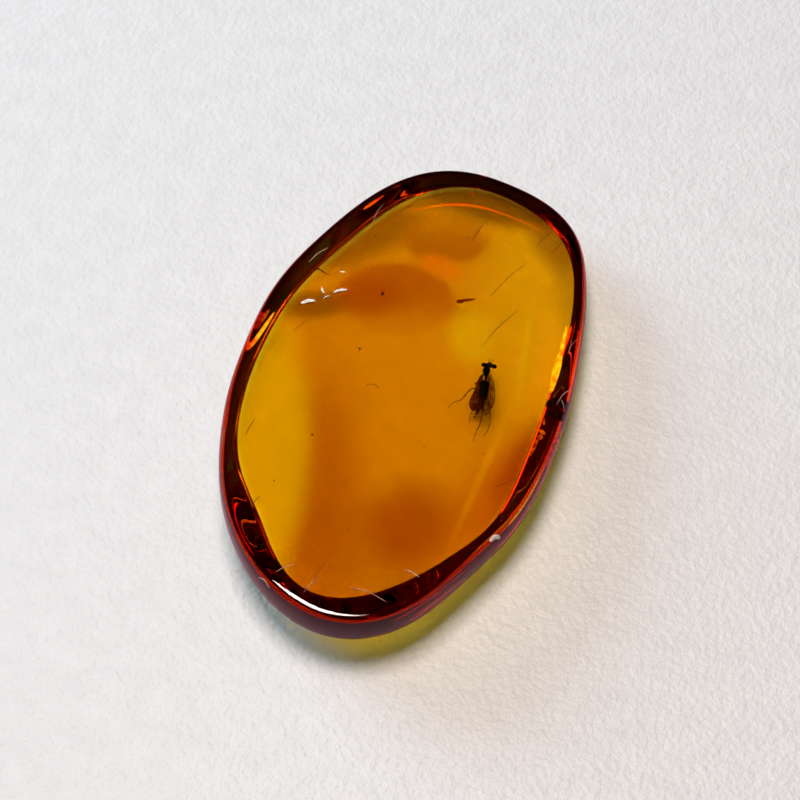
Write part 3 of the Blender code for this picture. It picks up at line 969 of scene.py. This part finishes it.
DARK_SCRATCHES = (  # both ends in the picture's pixels, half-width in millimetres
    ((488.3, 296.7), (526.7, 261.7), 0.020),
    ((535, 248), (553, 230), 0.018),
    ((480, 346.7), (518.3, 308.3), 0.014),
    ((470, 243.3), (486.7, 220), 0.022),
    ((245, 435), (255, 418), 0.018),
    ((250, 508), (260, 495), 0.020),
    ((310, 585), (326.7, 560), 0.022),
    ((495, 487), (520, 478), 0.014),
)
MORE_DARK_SCRATCHES = (  # middle, half-length, half-width, bearing in degrees
    ((4.75, 8.95), 0.45, 0.014, 70),
    ((-5.10, 1.40), 0.40, 0.012, 60),
)
PALE_SCRATCHES = (
    ((275, 571.7), (295, 563), 0.020),
    ((303, 592), (318, 578), 0.020),
    ((348, 585), (388, 601), 0.018),
    ((405, 569), (420, 577), 0.030),
    ((371.7, 223), (383, 203), 0.014),
    ((308, 261.7), (328, 246.7), 0.024),
    ((555.6, 404), (571.4, 388.4), 0.018),
    ((561.6, 399.5), (564.6, 410.2), 0.018),
    ((566.8, 353.9), (577.2, 337.9), 0.010),
)
MORE_PALE_SCRATCHES = (
    ((-2.87, -10.90), 0.38, 0.022, -32),
    ((-6.60, -4.90), 0.40, 0.012, 100),
)


dark_rows = [blade_row(*row) for row in DARK_SCRATCHES]
pale_rows = [blade_row(*row) for row in PALE_SCRATCHES]
add_marks("dark_scratches", [*dark_rows, *MORE_DARK_SCRATCHES], 0.03, (0.16, 0.025, 0.004, 1), 0.60)
add_marks("pale_scratches", [*pale_rows, *MORE_PALE_SCRATCHES], 0.06, (0.62, 0.34, 0.26, 1), 0.70)


# ---- Painted glints and dark lumps in the rim -----------------------------------------------
# Glowing lumps inside the rim are painted highlights, though no lamp is there: a long yellow one
# on the right, a short one on the upper left and red ones, with dark lumps where the right one
# ends. Real splits there mirror the window, and these glow to stand for it.

FLASHES = (  # piece, centre, half-sizes, lean to the right in degrees
    ("yellow_painted_glints", (6.17, 3.20, 1.0), (0.17, 1.15, 0.05), 1),
    ("yellow_painted_glints", (6.12, 4.60, 1.0), (0.09, 1.05, 0.04), 4),
    ("yellow_painted_glints", (-6.77, 0.98, 2.4), (0.085, 1.15, 0.05), -13),
    ("red_painted_glints", (-6.98, 1.20, 2.6), (0.11, 0.95, 0.05), -16),
    ("red_painted_glints", (6.30, 0.45, 1.6), (0.07, 0.22, 0.05), 20),
    ("red_painted_glints", (6.38, -0.10, 1.6), (0.17, 0.10, 0.06), -25),
    ("red_painted_glints", (6.36, -0.38, 1.6), (0.12, 0.13, 0.06), -35),
    ("red_painted_glints", (6.22, -0.95, 1.6), (0.08, 0.50, 0.05), -8),
    ("dark_rim_lumps", (6.42, 1.45, 1.6), (0.20, 0.34, 0.12), -30),
    ("dark_rim_lumps", (6.62, 0.95, 1.7), (0.26, 0.26, 0.12), 20),
    ("dark_rim_lumps", (6.85, 1.60, 1.9), (0.12, 0.40, 0.10), -20),
    ("resin_stain", (1.42, 5.42, 1.6), (0.46, 0.07, 0.05), 24),
    ("resin_stain", (1.20, 5.26, 1.6), (0.18, 0.08, 0.05), 24),
)
FLASH_COLOURS = {  # the darker and the brighter colour of its grain, and how far it glows
    "yellow_painted_glints": ((1.0, 0.22, 0.005, 1), (1.0, 0.72, 0.10, 1), 0.95),
    "red_painted_glints": ((0.22, 0.006, 0.004, 1), (0.85, 0.16, 0.01, 1), 0.42),
    "dark_rim_lumps": ((0.010, 0.001, 0.001, 1), (0.045, 0.004, 0.003, 1), 0.0),
    "resin_stain": ((0.22, 0.014, 0.003, 1), (0.34, 0.030, 0.005, 1), 0.0),
}
FLASH_GRAIN = 3500.0
FLASH_ROUGHNESS = 0.12  # how far its surface departs from a smooth lump, in millimetres
FLASH_SEED = 5


def flash_bmesh(name):
    """The lumps of one piece, each drawn out along the rim and roughened."""
    bm = bmesh.new()
    chance = random.Random(FLASH_SEED)
    for piece, centre, reach, lean in FLASHES:
        if piece != name:
            continue
        made = add_lump(bm, (0, 0, 0), reach, lean, detail=3)
        for vert in made:
            vert.co *= 1 + FLASH_ROUGHNESS * chance.uniform(-1, 1)
        bmesh.ops.smooth_vert(
            bm, verts=made, factor=0.5, use_axis_x=True, use_axis_y=True, use_axis_z=True
        )
        bmesh.ops.translate(bm, verts=made, vec=centre)
    bmesh.ops.scale(bm, verts=bm.verts, vec=(MM, MM, MM))
    return bm


def flash_material(name, dim, bright, glow):
    """Painted light caught on an uneven split: its colour runs between two, and it may glow though it is no
    lamp.
    """
    material, shader = new_material(name)
    tree = material.node_tree
    place = add_node(tree, "ShaderNodeTexCoord").outputs["Object"]
    grain = add_node(tree, "ShaderNodeTexNoise", {"Vector": place, "Scale": FLASH_GRAIN})
    share = add_node(
        tree, "ShaderNodeMapRange", {"Value": grain.outputs["Fac"], "From Min": 0.35, "From Max": 0.65}
    )
    colour = add_node(
        tree, "ShaderNodeMix", {"Factor": share.outputs[0], 6: dim, 7: bright}, data_type="RGBA"
    )
    tree.links.new(colour.outputs[2], shader.inputs["Base Color"])
    tree.links.new(colour.outputs[2], shader.inputs["Emission Color"])
    shader.inputs["Emission Strength"].default_value = glow
    shader.inputs["Roughness"].default_value = 0.5
    shader.inputs["Specular IOR Level"].default_value = IN_RESIN_GLOSS
    return material


for name, (dim, bright, glow) in FLASH_COLOURS.items():
    flash = new_piece(name, flash_bmesh(name))
    flash.data.materials.append(flash_material(name, dim, bright, glow))
    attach(flash, "root")


# ---- The surface that it lies on ------------------------------------------------------------
# A pale, finely grained board, not part of the stone. Its colour depends on how it is seen:
# painted light makes it brighter through the amber, and painted shade and painted reflection
# make it darker and redder in mirrors, to stand for a room around it.

FLOOR_SIZE = 3.0
FLOOR_DROP = 0.02 * MM
FLOOR_COLOUR = (0.65, 0.645, 0.64)
SEEN_THROUGH_AMBER = (1.6, 1.6, 1.6)  # how bright the board is where light comes through the stone
SEEN_IN_RIM = (0.09, 0.006, 0.006)  # and where it is only seen by way of the rim's inner mirrors
SEEN_IN_POLISH = (0.70, 0.38, 0.45)  # and where the dark rim's polish mirrors it


def floor_material():
    material, shader = new_material("pale_board")
    tree = material.node_tree
    place = add_node(tree, "ShaderNodeTexCoord").outputs["Object"]
    path = add_node(tree, "ShaderNodeLightPath").outputs
    through = add_node(tree, "ShaderNodeClamp", {"Value": path["Transmission Depth"]})
    mirrored = add_node(tree, "ShaderNodeClamp", {"Value": path["Glossy Depth"]})
    inside = add_node(
        tree,
        "ShaderNodeMix",
        {"Factor": mirrored.outputs[0], 4: SEEN_THROUGH_AMBER, 5: SEEN_IN_RIM},
        data_type="VECTOR",
    )
    outside = add_node(
        tree,
        "ShaderNodeMix",
        {"Factor": mirrored.outputs[0], 4: (1, 1, 1), 5: SEEN_IN_POLISH},
        data_type="VECTOR",
    )
    share = add_node(
        tree,
        "ShaderNodeMix",
        {"Factor": through.outputs[0], 4: outside.outputs[1], 5: inside.outputs[1]},
        data_type="VECTOR",
    )
    mottle = add_node(tree, "ShaderNodeTexNoise", {"Vector": place, "Scale": 900.0, "Detail": 3.0})
    tone = add_node(
        tree,
        "ShaderNodeMapRange",
        {"Value": mottle.outputs["Fac"], "From Min": 0.3, "From Max": 0.7, "To Min": 0.97, "To Max": 1.03},
    )
    toned = add_node(
        tree, "ShaderNodeVectorMath", {0: FLOOR_COLOUR, "Scale": tone.outputs[0]}, operation="SCALE"
    )
    colour = add_node(
        tree, "ShaderNodeVectorMath", {0: toned.outputs[0], 1: share.outputs[1]}, operation="MULTIPLY"
    )
    grain = add_node(tree, "ShaderNodeTexNoise", {"Vector": place, "Scale": 3200.0, "Detail": 4.0})
    relief = add_node(
        tree, "ShaderNodeBump", {"Height": grain.outputs["Fac"], "Distance": 0.08 * MM, "Strength": 0.8}
    )
    tree.links.new(colour.outputs[0], shader.inputs["Base Color"])
    tree.links.new(relief.outputs[0], shader.inputs["Normal"])
    shader.inputs["Roughness"].default_value = 0.45
    return material


bm = bmesh.new()
bmesh.ops.create_grid(bm, x_segments=1, y_segments=1, size=FLOOR_SIZE / 2)
bmesh.ops.translate(bm, verts=bm.verts, vec=(0, 0, -FLOOR_DROP))
board = new_piece("board", bm)
board.data.materials.append(floor_material())


# ---- The camera -----------------------------------------------------------------------------
# It looks steeply down on the stone from its near end, a little to the right of its length.

SENSOR = 36

camera_data = bpy.data.cameras.new("camera")
camera_data.sensor_width = SENSOR
camera_data.lens = SENSOR * VIEW_DISTANCE / VIEW_FRAME
camera_data.clip_start = 10 * MM
camera_data.clip_end = 20
camera = bpy.data.objects.new("camera", camera_data)
bpy.context.scene.collection.objects.link(camera)
camera.location = camera_place
camera.rotation_euler = camera_turn.to_euler()
bpy.context.scene.camera = camera


# ---- The light ------------------------------------------------------------------------------
# A cool window light, low beyond the stone to the left, a warm one overhead and a dim room. The
# room looks bright only to the camera.

LIGHTS = (  # name, bearing, elevation, distance, size, power, colour, seen in polished surfaces
    ("window_light", 142, 20, 0.25, 0.15, 0.74, (0.48, 0.78, 1.0), False),
    ("overhead_light", 125, 83, 0.27, 0.09, 0.72, (1.0, 0.87, 0.80), True),
)
ROOM_LIGHT = 0.05
ROOM_BACKGROUND = 0.8

for name, bearing, elevation, distance, size, power, colour, in_gloss in LIGHTS:
    light = bpy.data.lights.new(name, "AREA")
    light.size = size
    light.energy = power
    light.color = colour
    lamp = bpy.data.objects.new(name, light)
    bpy.context.scene.collection.objects.link(lamp)
    away = direction(bearing, elevation)
    lamp.location = away * distance
    lamp.rotation_euler = (-away).to_track_quat("-Z", "Y").to_euler()
    lamp.visible_glossy = in_gloss
    lamp.visible_camera = False

room = bpy.data.worlds.new("room")
room.use_nodes = True
tree = room.node_tree
seen = add_node(tree, "ShaderNodeLightPath").outputs["Is Camera Ray"]
strength = add_node(
    tree, "ShaderNodeMapRange", {"Value": seen, "To Min": ROOM_LIGHT, "To Max": ROOM_BACKGROUND}
)
tree.nodes["Background"].inputs["Color"].default_value = (1, 1, 1, 1)
tree.links.new(strength.outputs[0], tree.nodes["Background"].inputs["Strength"])
room.cycles_visibility.glossy = False
bpy.context.scene.world = room

scene = bpy.context.scene
scene.view_settings.view_transform = "Standard"
scene.cycles.max_bounces = 24
scene.cycles.transmission_bounces = 24
scene.cycles.glossy_bounces = 8
scene.cycles.sample_clamp_indirect = 0.0
